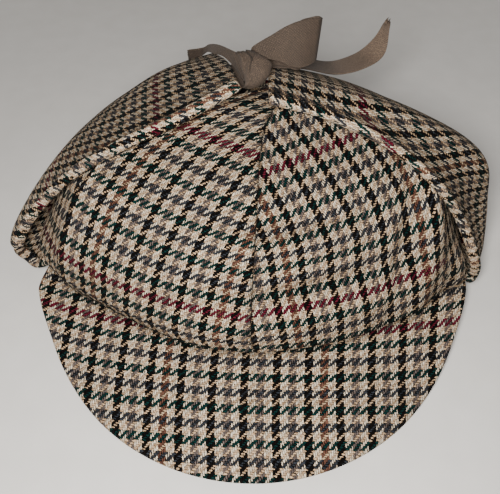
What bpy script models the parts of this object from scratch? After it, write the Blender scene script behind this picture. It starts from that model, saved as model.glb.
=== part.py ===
"""A deerstalker hat lying on its peaks: crown, peaks, folded-up ear flaps and their ribbon.

The front peak points to -Y, +X is at its right seen from the front, Z is up and the peaks
stand on Z = 0. Every size below is in millimetres and becomes metres in build_sheet().
"""

import math
from collections import namedtuple

import bpy
import numpy as np

MM = 0.001

# ---- driving dimensions, millimetres and degrees -----------------------------------------
CROWN_WALL = 2.2        # tweed and its lining
PEAK_WALL = 3.0         # two layers of tweed over a thin core
FLAP_WALL = 2.8         # two layers of tweed
RIBBON_WALL = 1.0       # grosgrain tape
GAP = 0.3               # between pieces that are sewn together

RIM_LAP = 2.6           # how far the peaks and flaps reach in under the crown's wall
RIM_LEVEL = 0.10        # climb below which the wall turns to stand level on the rim
TOP_OPENING = 0.993     # climb at which the six panels end around the top stitch

PEAK_EDGE_HALF_WIDTH = 117.0    # the peaks' edge is part of one oval in plan
PEAK_MIDDLE = 1.5
FRONT_PEAK_REACH = 132.0
BACK_PEAK_REACH = 132.0
FRONT_PEAK_SPAN = 79.5  # degrees each side of the front
BACK_PEAK_SPAN = 58.0   # degrees each side of the back
FRONT_PEAK_CORNER = 2.5 # degrees over which each end of a peak is rounded off
BACK_PEAK_CORNER = 20.0
PEAK_FLARE_LEFT = 3.5   # how much wider than the oval the front peak's ends are
PEAK_FLARE_RIGHT = 3.0
PEAK_FLARE_FROM = 62.0  # degrees each side where they start to widen
PEAK_FLARE_OVER = 17.5  # degrees over which they do
PEAK_CORNER_LIFT = 13.0 # how high the peaks' edge has risen at their ends
PEAK_ARCH = 0.35        # share of the slope that comes late, toward the edge
PEAK_FOOT = 2.5         # flat strip under the edge that the hat stands on
PEAK_FOOT_SPAN = 36.0   # degrees each side over which the edge lies on the ground

# ---- crown: one row for each level section, rim to top -----------------------------------
# climb is the share of the way up the cloth; left to back are the section's outermost
# places in X and Y; sides goes from 0, oval, to 1, six flat sides that meet at the seams.
Section = namedtuple("Section", "climb height left right front back sides")
CROWN_SECTIONS = (
    Section(0.00, 18.0, -112.0, 117.0, -73.0, 78.0, 0.15),
    Section(0.08, 27.0, -118.0, 119.0, -71.0, 81.0, 0.2),
    Section(0.24, 44.0, -115.0, 117.0, -61.0, 81.0, 0.4),
    Section(0.40, 60.0, -108.0, 112.0, -47.0, 76.0, 0.5),
    Section(0.56, 76.0, -97.0, 104.0, -31.0, 62.0, 0.5),
    Section(0.72, 91.0, -76.0, 85.0, -13.0, 46.5, 0.5),
    Section(0.86, 103.0, -41.0, 57.0, 3.0, 34.0, 0.4),
    Section(0.95, 109.0, -7.0, 36.0, 12.0, 27.0, 0.2),
    Section(1.00, 111.0, 16.0, 16.0, 19.0, 19.0, 0.0),
)
PANELS = (
    # name, seam at its left and seam at its right (degrees from the front), columns
    ("crown_front_left", -60.0, 0.0, 13),
    ("crown_front_right", 0.0, 60.0, 13),
    ("crown_side_left", -120.0, -60.0, 8),
    ("crown_side_right", 60.0, 120.0, 8),
    ("crown_back_left", -180.0, -120.0, 6),
    ("crown_back_right", 120.0, 180.0, 6),
)
PANEL_ROWS = 22

# ---- the slumped crown's folds: push is outward, negative for a valley --------------------
# turn and climb give the middle, half_span the degrees each side over which it fades,
# rise how much climb it gains per degree of turn, width its half width in climb.
Fold = namedtuple("Fold", "turn climb half_span rise width push")
CROWN_FOLDS = (
    Fold(-44.0, 0.00, 36.0, 0.0, 0.140, -5.5),      # dented in over the peak's left half
    Fold(-32.0, 0.25, 40.0, 0.0, 0.070, 2.6),       # shoulder over that dent
    Fold(12.0, 0.48, 36.0, -0.0006, 0.026, -3.2),   # tuck across the front right panel
    Fold(15.0, 0.42, 36.0, -0.0004, 0.036, 2.2),    # roll under the tuck
    Fold(17.0, 0.27, 42.0, 0.0012, 0.032, -3.8),    # valley above the peak's seam
    Fold(20.0, 0.14, 50.0, 0.0006, 0.052, 2.8),     # roll that stands over that seam
    Fold(45.0, 0.32, 14.0, 0.0300, 0.100, -2.8),    # upright valley at the right
    Fold(56.0, 0.30, 15.0, 0.0300, 0.140, 3.0),     # lobe beside it
    Fold(-84.0, 0.00, 22.0, 0.0, 0.140, 5.0),       # rim pushed out over the peak's left end
    Fold(80.0, 0.00, 22.0, 0.0, 0.140, 4.5),        # and over its right end
    Fold(70.0, 0.00, 11.0, 0.0, 0.130, 5.5),        # and most where the cloth stands in the corner
)

# ---- ear flaps: one row for each line across the flap, rim to tip -------------------------
FlapRow = namedtuple(
    "FlapRow", "climb front_x front_y front_z crest_x crest_y crest_z back_x back_y back_z"
)
LEFT_FLAP = (
    FlapRow(0.04, -120.5, -10.0, 12.5, -123.0, 4.0, 11.0, -109.0, 42.0, 12.0),
    FlapRow(0.08, -123.5, -11.0, 19.5, -129.0, 1.0, 18.0, -112.0, 42.0, 12.0),
    FlapRow(0.18, -126.0, -13.5, 32.0, -133.3, -2.0, 29.0, -117.0, 46.0, 24.0),
    FlapRow(0.36, -113.0, -11.0, 54.5, -120.0, 6.0, 52.0, -112.0, 50.0, 44.0),
    FlapRow(0.54, -89.0, -9.0, 78.5, -97.5, 17.0, 76.0, -93.0, 54.0, 66.0),
    FlapRow(0.72, -61.7, -8.6, 96.0, -72.0, 24.0, 95.0, -68.0, 55.0, 86.0),
    FlapRow(0.87, -33.0, -5.8, 109.0, -43.0, 28.0, 113.0, -38.0, 54.0, 104.0),
    FlapRow(1.00, -4.3, 5.2, 121.1, -10.4, 30.0, 119.6, -18.4, 50.0, 113.2),
)
RIGHT_FLAP = (
    FlapRow(0.04, 122.0, -13.0, 9.0, 124.4, 4.0, 9.5, 110.0, 42.0, 12.0),
    FlapRow(0.08, 122.8, -21.0, 11.0, 128.6, 2.0, 12.0, 114.0, 42.0, 12.0),
    FlapRow(0.18, 122.0, -23.0, 26.5, 133.6, 4.0, 20.5, 119.0, 46.0, 24.0),
    FlapRow(0.36, 110.0, -19.5, 51.5, 128.0, 4.0, 54.0, 116.0, 50.0, 45.0),
    FlapRow(0.54, 91.0, -19.0, 79.0, 119.5, 4.0, 80.0, 105.0, 50.0, 68.0),
    FlapRow(0.72, 66.0, -11.0, 98.0, 90.5, 6.0, 100.0, 78.0, 50.0, 84.0),
    FlapRow(0.87, 36.0, -3.0, 110.0, 54.0, 12.0, 112.0, 46.0, 48.0, 99.0),
    FlapRow(1.00, 9.0, 1.0, 115.8, 9.0, 22.0, 119.4, 10.0, 40.0, 113.0),
)
FLAP_ROOT = (82.0, 97.0, 119.0) # turns of the front edge, crest and back edge at the rim
FLAP_CREST = 0.42       # share of the way from the front edge to the back edge
FLAP_HOLLOW_LEFT = 0.0  # how deep the cloth sags between the front edge and the crest
FLAP_HOLLOW_RIGHT = 4.0
FLAP_ROWS = 20
FLAP_COLUMNS = 13

# ---- ribbon: tapes are rows of their two edges, from the knot outward ----------------------
TapeRow = namedtuple("TapeRow", "along upper_x upper_y upper_z lower_x lower_y lower_z")
BOW_LOOP = (
    TapeRow(0.00, 0.7, 23.7, 130.5, 5.7, 19.5, 126.4),
    TapeRow(0.35, 10.5, 29.2, 133.9, 14.8, 21.1, 123.6),
    TapeRow(0.70, 22.7, 32.8, 138.6, 23.4, 19.3, 122.0),
    TapeRow(1.00, 34.1, 34.5, 140.3, 31.5, 23.9, 123.5),
)
LOOP_OPEN = 7.0         # how far apart the loop's two layers stand at most
TAIL_RIGHT = (
    TapeRow(0.00, 6.5, 29.0, 123.2, 9.0, 22.5, 120.6),
    TapeRow(0.22, 27.5, 41.0, 114.6, 25.8, 29.1, 116.1),
    TapeRow(0.45, 46.4, 72.7, 94.0, 47.4, 53.5, 97.6),
    TapeRow(0.66, 62.1, 84.6, 92.5, 64.7, 65.3, 94.5),
    TapeRow(0.84, 70.7, 86.2, 100.5, 76.0, 75.1, 97.2),
    TapeRow(1.00, 76.1, 91.3, 106.7, 78.2, 83.5, 109.3),
)
TAIL_LEFT = (
    TapeRow(0.00, -4.0, 23.0, 127.8, -0.6, 13.5, 117.5),
    TapeRow(0.22, -8.0, 26.5, 127.4, -4.0, 19.0, 117.6),
    TapeRow(0.38, -10.6, 30.3, 126.4, -6.9, 26.5, 119.4),
    TapeRow(0.52, -13.0, 35.0, 124.9, -12.3, 33.4, 120.8),
    TapeRow(0.66, -17.1, 43.5, 121.3, -18.7, 43.6, 117.2),
    TapeRow(0.75, -21.0, 51.0, 117.0, -22.3, 52.0, 111.9),
    TapeRow(0.84, -25.2, 57.0, 111.5, -26.2, 60.0, 104.8),
    TapeRow(1.00, -33.4, 58.5, 109.3, -33.4, 62.0, 101.5),
)
TIE_LEFT = (
    TapeRow(0.00, -4.5, 29.5, 117.8, -2.5, 13.5, 115.2),
    TapeRow(0.50, -9.4, 33.0, 115.9, -6.0, 13.0, 115.8),
    TapeRow(1.00, -15.0, 32.0, 113.8, -10.0, 12.0, 115.4),
)
# the knot: one row for each level, with its half width, half depth and middle
KnotRow = namedtuple("KnotRow", "climb x y z half_width half_depth")
KNOT = (
    KnotRow(0.00, -1.0, 4.2, 121.6, 1.9, 1.8),
    KnotRow(0.16, 1.4, 6.0, 122.5, 3.9, 3.8),
    KnotRow(0.36, 2.9, 9.0, 124.7, 5.8, 4.8),
    KnotRow(0.55, 3.0, 12.1, 126.2, 6.9, 5.2),
    KnotRow(0.70, 2.7, 14.4, 127.7, 7.3, 5.0),
    KnotRow(0.85, 0.6, 16.7, 129.1, 6.3, 4.0),
    KnotRow(1.00, -2.0, 19.1, 130.6, 4.8, 2.4),
)
KNOT_PLEATS = 5
KNOT_PLEAT_DEPTH = 0.09


def smooth(rows, value):
    """Columns of a table at one value of its first column, on a curve through its rows."""
    table = np.array(rows, float)
    keys = table[:, 0]
    last = len(keys) - 1
    value = min(max(value, keys[0]), keys[last])
    low = min(int(np.searchsorted(keys, value, side="right")) - 1, last - 1)
    step = keys[low + 1] - keys[low]
    share = (value - keys[low]) / step

    def slope(row):
        before, after = max(row - 1, 0), min(row + 1, last)
        return (table[after] - table[before]) / (keys[after] - keys[before])

    square, cube = share**2, share**3
    return (
        (2 * cube - 3 * square + 1) * table[low]
        + (cube - 2 * square + share) * step * slope(low)
        + (3 * square - 2 * cube) * table[low + 1]
        + (cube - square) * step * slope(low + 1)
    )


def ease(value):
    """0 to 1 with a soft start and end."""
    value = min(max(value, 0.0), 1.0)
    return value * value * (3.0 - 2.0 * value)


def crown_base(turn, climb):
    """The crown's outer surface without its folds."""
    section = Section(*smooth(CROWN_SECTIONS, climb))
    local = (turn % 60.0) - 30.0
    hexagon = math.cos(math.radians(30.0)) / math.cos(math.radians(local))
    radius = 1.0 + section.sides * (hexagon - 1.0)
    angle = math.radians(turn)
    across = (section.right - section.left) / 2 * radius * math.sin(angle)
    along = (section.back - section.front) / 2 * radius * -math.cos(angle)
    middle_x = (section.left + section.right) / 2
    middle_y = (section.front + section.back) / 2
    return np.array([middle_x + across, middle_y + along, section.height])


def crown_push(turn, climb):
    """How far the folds move the cloth outward."""
    push = 0.0
    for fold in CROWN_FOLDS:
        aside = turn - fold.turn
        if abs(aside) > fold.half_span:
            continue
        fade = math.cos(math.pi / 2 * aside / fold.half_span) ** 2
        off = (climb - fold.climb - fold.rise * aside) / fold.width
        push += fold.push * fade * math.exp(-off * off)
    return push


def outward(surface, u, v, du, dv):
    """A surface's unit normal by differences."""
    one = surface(u + du, v) - surface(u - du, v)
    two = surface(u, v + dv) - surface(u, v - dv)
    normal = np.cross(one, two)
    return normal / np.linalg.norm(normal)


def crown_normal(surface, turn, climb):
    """Unit normal of one of the crown's surfaces, turned level at the rim."""
    normal = outward(surface, turn, min(max(climb, 0.012), 0.97), 1.0, 0.01)
    normal[2] *= ease(climb / RIM_LEVEL)
    return normal / np.linalg.norm(normal)


def crown_surface(turn, climb):
    """The crown's outer surface with its folds."""
    normal = crown_normal(crown_base, turn, climb)
    return crown_base(turn, climb) + normal * crown_push(turn, climb)


def crown_grid(left, right, columns):
    """Outer and inner points of one panel, with half a gap left at each seam."""
    outer, inner = [], []
    for row in range(PANEL_ROWS + 1):
        climb = TOP_OPENING * row / PANEL_ROWS
        width = np.linalg.norm(crown_base(right, climb) - crown_base(left, climb))
        inset = (right - left) * GAP / 2 / width
        outer_row, inner_row = [], []
        for column in range(columns + 1):
            share = column / columns
            turn = left + inset + (right - left - 2 * inset) * share
            point = crown_surface(turn, climb)
            normal = crown_normal(crown_surface, left + (right - left) * share, climb)
            outer_row.append(point)
            inner_row.append(point - normal * CROWN_WALL)
        outer.append(outer_row)
        inner.append(inner_row)
    return np.array(outer), np.array(inner)


def rim_point(turn, inset=0.0, drop=0.0):
    """A point of the crown's rim, moved in toward the head and down."""
    point = crown_surface(turn, 0.0)
    return point - crown_normal(crown_surface, turn, 0.0) * inset - np.array([0.0, 0.0, drop])


def peak_grid(middle, span, corner, reach, columns, rows):
    """Upper and lower points of a peak; middle is 0 for the front and 180 for the back."""
    upper, lower = [], []
    for column in range(columns + 1):
        aside = span * (2.0 * column / columns - 1.0)
        turn = middle + aside
        angle = math.radians(turn)
        late = (abs(aside) - (span - corner)) / corner
        rounding = max(math.sqrt(max(1.0 - max(late, 0.0) ** 2, 0.0)), 0.12)
        lift = PEAK_CORNER_LIFT * ease((abs(aside) - PEAK_FOOT_SPAN) / (span - PEAK_FOOT_SPAN))
        rim = rim_point(turn, 0.0, GAP)
        flare = PEAK_FLARE_LEFT if turn < 0.0 else PEAK_FLARE_RIGHT
        flare *= ease((abs(aside) - PEAK_FLARE_FROM) / PEAK_FLARE_OVER)
        edge_x = PEAK_MIDDLE + (PEAK_EDGE_HALF_WIDTH + flare) * math.sin(angle)
        edge = np.array([edge_x, -reach * math.cos(angle), 0.0])
        edge = rim + (edge - rim) * rounding
        edge[2] = PEAK_WALL + lift
        width = np.linalg.norm((edge - rim)[:2])
        inside = rim_point(turn, RIM_LAP, GAP)
        upper_line, lower_line = [inside], [inside - np.array([0.0, 0.0, PEAK_WALL])]
        for row in range(rows + 1):
            share = row / rows * (1.0 - 1.2 / width)
            point = rim + (edge - rim) * share
            fall = (1.0 - PEAK_ARCH) * share + PEAK_ARCH * share**2
            point[2] = rim[2] + (edge[2] - rim[2]) * fall
            below = point - np.array([0.0, 0.0, PEAK_WALL])
            if (1.0 - share) * width < PEAK_FOOT + 0.01:
                below[2] = lift
            upper_line.append(point)
            lower_line.append(below)
        foot = rim + (edge - rim) * (1.0 - PEAK_FOOT / width)
        lower_line[-1] = np.array([foot[0], foot[1], lift])
        rounded = edge.copy()
        rounded[2] = lift + 0.6 * PEAK_WALL
        upper_line.append(rounded)
        lower_line.append(np.array([edge[0], edge[1], lift]))
        upper.append(upper_line)
        lower.append(lower_line)
    return np.array(upper), np.array(lower)


def flap_table(rows, side):
    """A flap's rows, led by the one where it leaves the rim; side is -1 left and 1 right."""
    drop = GAP + FLAP_WALL
    front, crest, back = (rim_point(side * turn, RIM_LAP, drop) for turn in FLAP_ROOT)
    return (FlapRow(0.0, *front, *crest, *back), *rows)


def flap_line(table, climb, across):
    """A flap's outer surface without its hollow."""
    row = FlapRow(climb, *smooth(table, climb)[1:])
    line = (
        (0.0, row.front_x, row.front_y, row.front_z),
        (FLAP_CREST, row.crest_x, row.crest_y, row.crest_z),
        (1.0, row.back_x, row.back_y, row.back_z),
    )
    return smooth(line, across)[1:]


def flap_normal(surface, table, climb, across):
    """Unit normal of one of a flap's surfaces."""
    side = math.copysign(1.0, table[0].crest_x)
    at = min(max(climb, 0.01), 0.99), min(max(across, 0.01), 0.99)
    return outward(lambda c, a: surface(table, c, a), *at, 0.01, 0.01) * -side


def flap_surface(table, climb, across):
    """A flap's outer surface; across goes from 0, the front edge, to 1, the back edge."""
    deep = FLAP_HOLLOW_LEFT if table[0].crest_x < 0.0 else FLAP_HOLLOW_RIGHT
    deep *= math.sin(math.pi * min(across / FLAP_CREST, 1.0)) ** 2
    deep *= ease((climb - 0.15) / 0.25) * ease((1.0 - climb) / 0.15)
    return flap_line(table, climb, across) - flap_normal(flap_line, table, climb, across) * deep


def flap_grid(table):
    """Outer and inner points of an ear flap."""
    outer, inner = [], []
    for row in range(FLAP_ROWS + 1):
        climb = row / FLAP_ROWS
        outer_row, inner_row = [], []
        for column in range(FLAP_COLUMNS + 1):
            across = column / FLAP_COLUMNS
            point = flap_surface(table, climb, across)
            outer_row.append(point)
            inner_row.append(point - flap_normal(flap_surface, table, climb, across) * FLAP_WALL)
        outer.append(outer_row)
        inner.append(inner_row)
    return np.array(outer), np.array(inner)


def tape_frame(rows, along):
    """Upper edge, lower edge and facing direction of a tape at one place on its way."""
    def edges(place):
        row = TapeRow(along, *smooth(rows, place)[1:])
        upper = np.array([row.upper_x, row.upper_y, row.upper_z])
        lower = np.array([row.lower_x, row.lower_y, row.lower_z])
        return upper, lower

    upper, lower = edges(along)
    before, after = edges(max(along - 0.03, 0.0)), edges(min(along + 0.03, 1.0))
    ahead = sum(after) - sum(before)
    facing = np.cross(ahead, upper - lower)
    return upper, lower, facing / np.linalg.norm(facing)


def tape_line(upper, lower, facing, shift, columns):
    """Points across a tape, on a face that stands off its middle by shift."""
    return [upper + (lower - upper) * c / columns + facing * shift for c in range(columns + 1)]


def tail_grid(rows, steps, columns):
    """The two faces of a single length of tape."""
    faces = []
    for side in (0.5, -0.5):
        lines = []
        for step in range(steps + 1):
            frame = tape_frame(rows, step / steps)
            lines.append(tape_line(*frame, side * RIBBON_WALL, columns))
        faces.append(np.array(lines))
    return faces


def loop_grid(rows, steps, columns):
    """A tape that goes out to the loop's end, turns and comes back behind itself."""
    lines, apart = [], RIBBON_WALL / 2 + GAP
    for step in range(steps + 1):
        angle = math.pi * 2 * step / steps
        along = (1.0 - math.cos(angle)) / 2
        frame = tape_frame(rows, along)
        shift = LOOP_OPEN / 2 * math.sin(angle) + apart * math.cos(angle / 2)
        lines.append(tape_line(*frame, shift, columns))
    middle = np.array(lines)
    way = np.gradient(middle, axis=0)
    across = np.gradient(middle, axis=1)
    normal = np.cross(way, across)
    normal /= np.linalg.norm(normal, axis=2)[:, :, None]
    return middle + normal * RIBBON_WALL / 2, middle - normal * RIBBON_WALL / 2


def build_knot(name, rings, sides, material):
    """The knot as a pleated lump with closed ends."""
    points, faces = [], []
    first, last = KnotRow(*KNOT[0]), KnotRow(*KNOT[-1])
    axis = np.array([last.x - first.x, last.y - first.y, last.z - first.z])
    across = np.array([1.0, 0.0, 0.0])
    depth = np.cross(axis, across) / np.linalg.norm(np.cross(axis, across))
    for ring in range(rings + 1):
        row = KnotRow(*smooth(KNOT, ring / rings))
        for side in range(sides):
            angle = 2 * math.pi * side / sides
            pleat = 1.0 + KNOT_PLEAT_DEPTH * math.cos(KNOT_PLEATS * angle)
            point = np.array([row.x, row.y, row.z])
            point += across * row.half_width * pleat * math.cos(angle)
            point += depth * row.half_depth * pleat * math.sin(angle)
            points.append(point * MM)
    for ring in range(rings):
        for side in range(sides):
            low, ahead = ring * sides, (side + 1) % sides
            faces.append((low + side, low + ahead, low + sides + ahead, low + sides + side))
    faces.append(tuple(reversed(range(sides))))
    faces.append(tuple(rings * sides + side for side in range(sides)))
    link_piece(name, points, faces, material)


def build_sheet(name, outer, inner, material):
    """A closed solid between two grids of points, as an object in metres."""
    rows, columns = outer.shape[:2]
    points = np.concatenate([outer.reshape(-1, 3), inner.reshape(-1, 3)]) * MM
    below = rows * columns

    def at(row, column, side=0):
        return side * below + row * columns + column

    faces = []
    for row in range(rows - 1):
        for column in range(columns - 1):
            corners = [(row, column), (row, column + 1), (row + 1, column + 1), (row + 1, column)]
            faces.append([at(*corner) for corner in corners])
            faces.append([at(*corner, 1) for corner in reversed(corners)])
    border = [(0, column) for column in range(columns)]
    border += [(row, columns - 1) for row in range(1, rows)]
    border += [(rows - 1, column) for column in range(columns - 2, -1, -1)]
    border += [(row, 0) for row in range(rows - 2, 0, -1)]
    for one, two in zip(border, border[1:] + border[:1]):
        faces.append([at(*two), at(*one), at(*one, 1), at(*two, 1)])
    link_piece(name, points, faces, material)


def link_piece(name, points, faces, material):
    """Make an object of one closed mesh, smooth but for its edges."""
    mesh = bpy.data.meshes.new(name)
    mesh.from_pydata([tuple(point) for point in points], [], faces)
    mesh.validate()
    face_out(mesh)
    mesh.shade_smooth()
    mesh.set_sharp_from_angle(angle=math.radians(50.0))
    mesh.materials.append(material)
    bpy.context.scene.collection.objects.link(bpy.data.objects.new(name, mesh))


def face_out(mesh):
    """Turn a closed mesh right side out when its signed volume is negative."""
    volume = 0.0
    for face in mesh.polygons:
        corners = [np.array(mesh.vertices[i].co) for i in face.vertices]
        for one, two in zip(corners[1:], corners[2:]):
            volume += np.dot(corners[0], np.cross(one, two))
    if volume < 0.0:
        mesh.flip_normals()


def cloth_material(name, colour, roughness):
    material = bpy.data.materials.new(name)
    material.use_nodes = True
    shader = material.node_tree.nodes["Principled BSDF"]
    shader.inputs["Base Color"].default_value = (*colour, 1.0)
    shader.inputs["Roughness"].default_value = roughness
    shader.inputs["Metallic"].default_value = 0.0
    material.diffuse_color = (*colour, 1.0)
    return material


def build():
    for old in list(bpy.data.objects):
        bpy.data.objects.remove(old)
    tweed = cloth_material("tweed", (0.25, 0.21, 0.17), 0.9)
    ribbon = cloth_material("ribbon", (0.19, 0.14, 0.09), 0.6)
    for name, left, right, columns in PANELS:
        build_sheet(name, *crown_grid(left, right, columns), tweed)
    front = (0.0, FRONT_PEAK_SPAN, FRONT_PEAK_CORNER, FRONT_PEAK_REACH)
    back = (180.0, BACK_PEAK_SPAN, BACK_PEAK_CORNER, BACK_PEAK_REACH)
    build_sheet("peak_front", *peak_grid(*front, 32, 7), tweed)
    build_sheet("peak_back", *peak_grid(*back, 24, 6), tweed)
    build_sheet("ear_flap_left", *flap_grid(flap_table(LEFT_FLAP, -1.0)), tweed)
    build_sheet("ear_flap_right", *flap_grid(flap_table(RIGHT_FLAP, 1.0)), tweed)
    build_knot("ribbon_knot", 10, 20, ribbon)
    build_sheet("ribbon_loop", *loop_grid(BOW_LOOP, 26, 4), ribbon)
    build_sheet("ribbon_tail_right", *tail_grid(TAIL_RIGHT, 16, 4), ribbon)
    build_sheet("ribbon_tail_left", *tail_grid(TAIL_LEFT, 12, 4), ribbon)
    build_sheet("ribbon_tie_left", *tail_grid(TIE_LEFT, 4, 4), ribbon)


build()
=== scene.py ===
"""Looks of the deerstalker hat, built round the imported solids, in their frame.

The front peak points to -Y, +X is at its right seen from the front, Z is up and the peaks
stand on Z = 0. Shapes are worked out in millimetres and become metres in link_mesh().
"""

import math
from collections import namedtuple

import bpy
import numpy as np
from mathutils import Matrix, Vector


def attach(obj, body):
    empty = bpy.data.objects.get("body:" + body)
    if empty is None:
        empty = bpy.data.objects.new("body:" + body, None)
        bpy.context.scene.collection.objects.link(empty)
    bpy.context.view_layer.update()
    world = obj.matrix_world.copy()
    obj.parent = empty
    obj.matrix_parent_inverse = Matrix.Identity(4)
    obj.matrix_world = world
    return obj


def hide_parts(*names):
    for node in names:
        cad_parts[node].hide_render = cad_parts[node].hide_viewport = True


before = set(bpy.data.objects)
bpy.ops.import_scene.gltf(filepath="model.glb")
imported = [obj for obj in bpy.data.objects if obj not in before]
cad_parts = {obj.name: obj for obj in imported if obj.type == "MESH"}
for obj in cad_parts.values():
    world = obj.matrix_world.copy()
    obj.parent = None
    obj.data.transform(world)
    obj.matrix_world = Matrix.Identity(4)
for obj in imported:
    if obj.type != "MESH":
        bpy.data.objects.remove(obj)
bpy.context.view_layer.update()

MM = 0.001

# ---- the solids' own sizes ----
CROWN_WALL = 2.2
PEAK_WALL = 3.0
FLAP_WALL = 2.8
RIBBON_WALL = 1.0
GAP = 0.3
RIM_LAP = 2.6           # how far peaks and flaps reach in under the crown's rim
RIM_LEVEL = 0.10        # the climb under which the crown's wall turns upright

PEAK_EDGE_HALF_WIDTH = 117.0
PEAK_MIDDLE = 1.5
PEAK_REACH = 132.0
FRONT_PEAK = (0.0, 79.5, 2.5)       # middle, span and rounded corner, in degrees
BACK_PEAK = (180.0, 58.0, 20.0)
PEAK_FLARE_LEFT = 3.5
PEAK_FLARE_RIGHT = 3.0
PEAK_FLARE_FROM = 62.0
PEAK_FLARE_OVER = 17.5
PEAK_CORNER_LIFT = 13.0
PEAK_ARCH = 0.35
PEAK_FOOT_SPAN = 36.0

# climb, height, the left, right, front and back ends, and how far the sides are flattened
CROWN_SECTIONS = (
    (0.00, 18.0, -112.0, 117.0, -73.0, 78.0, 0.15),
    (0.08, 27.0, -118.0, 119.0, -71.0, 81.0, 0.2),
    (0.24, 44.0, -115.0, 117.0, -61.0, 81.0, 0.4),
    (0.40, 60.0, -108.0, 112.0, -47.0, 76.0, 0.5),
    (0.56, 76.0, -97.0, 104.0, -31.0, 62.0, 0.5),
    (0.72, 91.0, -76.0, 85.0, -13.0, 46.5, 0.5),
    (0.86, 103.0, -41.0, 57.0, 3.0, 34.0, 0.4),
    (0.95, 109.0, -7.0, 36.0, 12.0, 27.0, 0.2),
    (1.00, 111.0, 16.0, 16.0, 19.0, 19.0, 0.0),
)
PANEL_SPAN = 60.0
PANELS = {              # the seam at a panel's left, in degrees from the front
    "crown_front_left": -60.0,
    "crown_front_right": 0.0,
    "crown_side_left": -120.0,
    "crown_side_right": 60.0,
    "crown_back_left": -180.0,
    "crown_back_right": 120.0,
}
Fold = namedtuple("Fold", "turn climb half_span rise width push")
CROWN_FOLDS = (
    Fold(-44.0, 0.00, 36.0, 0.0, 0.140, -5.5),
    Fold(-32.0, 0.25, 40.0, 0.0, 0.070, 2.6),
    Fold(12.0, 0.48, 36.0, -0.0006, 0.026, -3.2),
    Fold(15.0, 0.42, 36.0, -0.0004, 0.036, 2.2),
    Fold(17.0, 0.27, 42.0, 0.0012, 0.032, -3.8),
    Fold(20.0, 0.14, 50.0, 0.0006, 0.052, 2.8),
    Fold(45.0, 0.32, 14.0, 0.0300, 0.100, -2.8),
    Fold(56.0, 0.30, 15.0, 0.0300, 0.140, 3.0),
    Fold(-84.0, 0.00, 22.0, 0.0, 0.140, 5.0),
    Fold(80.0, 0.00, 22.0, 0.0, 0.140, 4.5),
    Fold(70.0, 0.00, 11.0, 0.0, 0.130, 5.5),
)
# creases too small for the solids
FINE_FOLDS = (
    Fold(20.0, 0.505, 26.0, -0.0008, 0.014, 0.9),
    Fold(26.0, 0.36, 20.0, 0.0016, 0.018, -0.9),
    Fold(-12.0, 0.44, 14.0, 0.0030, 0.022, -0.9),
    Fold(-46.0, 0.15, 18.0, 0.0016, 0.026, -1.0),
    Fold(-18.0, 0.12, 20.0, -0.0010, 0.030, 0.8),
)

TOP_GATHER = (0.86, 0.08)   # where the cloth under the knot gathers, and over how much climb
TOP_LIFT = 2.2
TOP_PLEATS = 9          # in a turn round the crown
TOP_PLEAT_DEPTH = 0.8

# climb, then a point of the front edge, one of the crest and one of the back edge
LEFT_FLAP = (
    (0.04, -120.5, -10.0, 12.5, -123.0, 4.0, 11.0, -109.0, 42.0, 12.0),
    (0.08, -123.5, -11.0, 19.5, -129.0, 1.0, 18.0, -112.0, 42.0, 12.0),
    (0.18, -126.0, -13.5, 32.0, -133.3, -2.0, 29.0, -117.0, 46.0, 24.0),
    (0.36, -113.0, -11.0, 54.5, -120.0, 6.0, 52.0, -112.0, 50.0, 44.0),
    (0.54, -89.0, -9.0, 78.5, -97.5, 17.0, 76.0, -93.0, 54.0, 66.0),
    (0.72, -61.7, -8.6, 96.0, -72.0, 24.0, 95.0, -68.0, 55.0, 86.0),
    (0.87, -33.0, -5.8, 109.0, -43.0, 28.0, 113.0, -38.0, 54.0, 104.0),
    (1.00, -4.3, 5.2, 121.1, -10.4, 30.0, 119.6, -18.4, 50.0, 113.2),
)
RIGHT_FLAP = (
    (0.04, 122.0, -13.0, 9.0, 124.4, 4.0, 9.5, 110.0, 42.0, 12.0),
    (0.08, 122.8, -21.0, 11.0, 128.6, 2.0, 12.0, 114.0, 42.0, 12.0),
    (0.18, 122.0, -23.0, 26.5, 133.6, 4.0, 20.5, 119.0, 46.0, 24.0),
    (0.36, 110.0, -19.5, 51.5, 128.0, 4.0, 54.0, 116.0, 50.0, 45.0),
    (0.54, 91.0, -19.0, 79.0, 119.5, 4.0, 80.0, 105.0, 50.0, 68.0),
    (0.72, 66.0, -11.0, 98.0, 90.5, 6.0, 100.0, 78.0, 50.0, 84.0),
    (0.87, 36.0, -3.0, 110.0, 54.0, 12.0, 112.0, 46.0, 48.0, 99.0),
    (1.00, 9.0, 1.0, 115.8, 9.0, 22.0, 119.4, 10.0, 40.0, 113.0),
)
FLAP_ROOT = (82.0, 97.0, 119.0)
FLAP_CREST = 0.42       # how far across a flap its crest lies
FLAP_HOLLOW = 4.0       # between the right flap's front edge and its crest
HOLLOW_START = (0.15, 0.25)
HOLLOW_END = 0.15

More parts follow.
